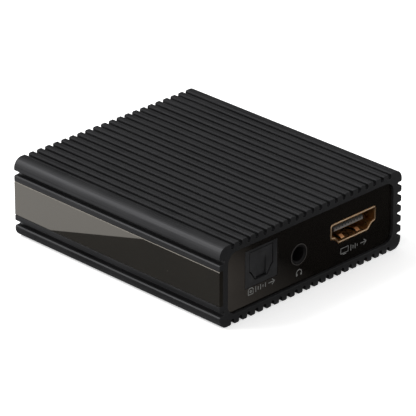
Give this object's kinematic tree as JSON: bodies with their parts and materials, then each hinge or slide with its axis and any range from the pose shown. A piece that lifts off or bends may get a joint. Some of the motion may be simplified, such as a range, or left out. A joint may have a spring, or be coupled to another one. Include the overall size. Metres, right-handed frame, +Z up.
{
  "type": "audio extractor",
  "caption": "Small ribbed metal box that splits the sound off a video signal, with sockets at both ends, a glossy strip on one side, a sprung shutter and a slide switch.",
  "frame": {"origin": "middle of the underside, on the plane of the rib crests that the box rests on", "axes": "+Z up; +Y along the ribs from the output face to the input face; +X across the ribs, so the glossy strip is on the -X side"},
  "size_m": [0.06, 0.0676, 0.0202],
  "materials": {
    "anodised_aluminium": "black matt anodised, fine blasted",
    "inlay_gloss": "glossy dark grey-brown strip",
    "panel_gloss": "glossy black, printed with plain grey signs",
    "plate_steel": "plain zinc-plated sheet",
    "screw_steel": "zinc plated",
    "board_laminate": "green solder mask",
    "shell_gold": "gold-flashed sheet",
    "insulator_black": "moulded, matt",
    "contact_gold": "gold-plated",
    "receptacle_plastic": "dark grey moulded, matt",
    "shutter_plastic": "dark grey moulded, matt",
    "pin_steel": "plain wire",
    "emitter_resin": "pale moulded resin",
    "jack_plastic": "dark grey moulded, satin",
    "contact_tin": "tin-plated",
    "power_plastic": "black moulded",
    "switch_steel": "nickel-plated sheet",
    "switch_laminate": "brown phenolic",
    "knob_plastic": "black moulded",
    "light_resin": "water-clear resin",
    "chip_resin": "moulded black resin",
    "can_steel": "drawn can",
    "can_aluminium": "drawn can with a black sector",
    "ferrite": "grey ferrite",
    "chip_ceramic": "fired ceramic with tin ends",
    "chip_black": "black film with tin ends"
  },
  "bodies": {
    "box": {"housing_sleeve": "anodised_aluminium", "side_inlay": "inlay_gloss", "front_end_plate": "plate_steel", "front_panel": "panel_gloss", "front_plate_screws": "screw_steel", "rear_end_plate": "plate_steel", "rear_panel": "panel_gloss", "rear_plate_screws": "screw_steel", "main_board": "board_laminate", "video_out_shell": "shell_gold", "video_out_insulator": "insulator_black", "video_out_contacts": "contact_gold", "video_in_shell": "shell_gold", "video_in_insulator": "insulator_black", "video_in_contacts": "contact_gold", "optical_housing": "receptacle_plastic", "shutter_pin": "pin_steel", "optical_emitter": "emitter_resin", "headphone_jack_body": "jack_plastic", "headphone_jack_contacts": "contact_gold", "dc_jack_body": "power_plastic", "dc_jack_pin": "contact_tin", "dc_jack_contact": "contact_tin", "mode_switch_frame": "switch_steel", "mode_switch_base": "switch_laminate", "status_led": "light_resin", "video_processor": "chip_resin", "audio_converter": "chip_resin", "voltage_regulator": "chip_resin", "crystal": "can_steel", "electrolytic_capacitors": "can_aluminium", "power_inductor": "ferrite", "chip_capacitors": "chip_ceramic", "chip_resistors": "chip_black"},
    "shutter": {"optical_shutter": "shutter_plastic", "shutter_spring": "pin_steel"},
    "switch_slider": {"mode_switch_slider": "knob_plastic"}
  },
  "joints": [
    {"name": "shutter_hinge", "type": "hinge", "parent": "box", "child": "shutter", "pos_m": [-0.01595, -0.03195, 0.01445], "axis": [1, 0, 0], "range_deg": [0, 78], "stiffness_Nm_per_rad": 0.0002, "springref_deg": -20.05},
    {"name": "mode_switch_slide", "type": "slide", "parent": "box", "child": "switch_slider", "axis": [1, 0, 0], "range_m": [-0.002, 0.002]}
  ]
}
